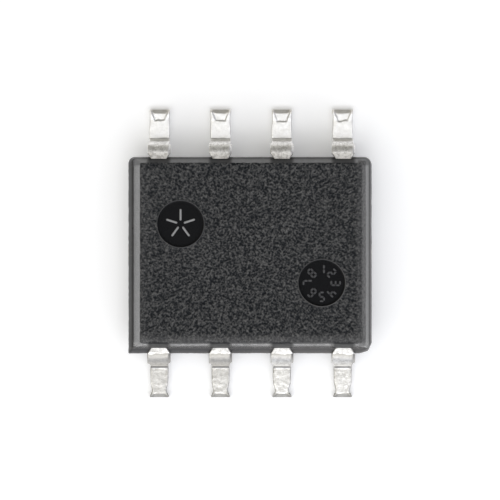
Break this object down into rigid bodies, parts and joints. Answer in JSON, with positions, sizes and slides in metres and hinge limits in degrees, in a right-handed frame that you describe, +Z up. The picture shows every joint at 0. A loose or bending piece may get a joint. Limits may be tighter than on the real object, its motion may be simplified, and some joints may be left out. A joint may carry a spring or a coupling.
{
  "type": "pwm controller chip",
  "caption": "Small-outline integrated circuit: dark moulded body with gull-wing leads along both long sides, for soldering flat on a circuit board.",
  "frame": {"origin": "centre of the lead pattern on the seating plane, with the feet on Z = 0", "axes": "+Z up through the top face, X along the body, Y across it: the leads leave towards +Y and -Y. Seen from above the leads are numbered counter-clockwise from the one at the lowest X and Y"},
  "size_m": [0.005, 0.006, 0.0016],
  "materials": {
    "mould_compound": "spark-eroded grain on top, smooth drafted walls",
    "tinned_lead": "matte tin plating",
    "die_attach_glue": "silver-filled epoxy",
    "silicon": "polished",
    "gold_wire": "drawn"
  },
  "bodies": {
    "root": {"mould_body": "mould_compound", "die_paddle": "tinned_lead", "die_attach": "die_attach_glue", "silicon_die": "silicon", "lead_1": "tinned_lead", "lead_2": "tinned_lead", "lead_3": "tinned_lead", "lead_4": "tinned_lead", "lead_5": "tinned_lead", "lead_6": "tinned_lead", "lead_7": "tinned_lead", "lead_8": "tinned_lead", "bond_wire_1": "gold_wire", "bond_wire_2": "gold_wire", "bond_wire_3": "gold_wire", "bond_wire_4": "gold_wire", "bond_wire_5": "gold_wire", "bond_wire_6": "gold_wire", "bond_wire_7": "gold_wire", "bond_wire_8": "gold_wire"}
  },
  "joints": []
}
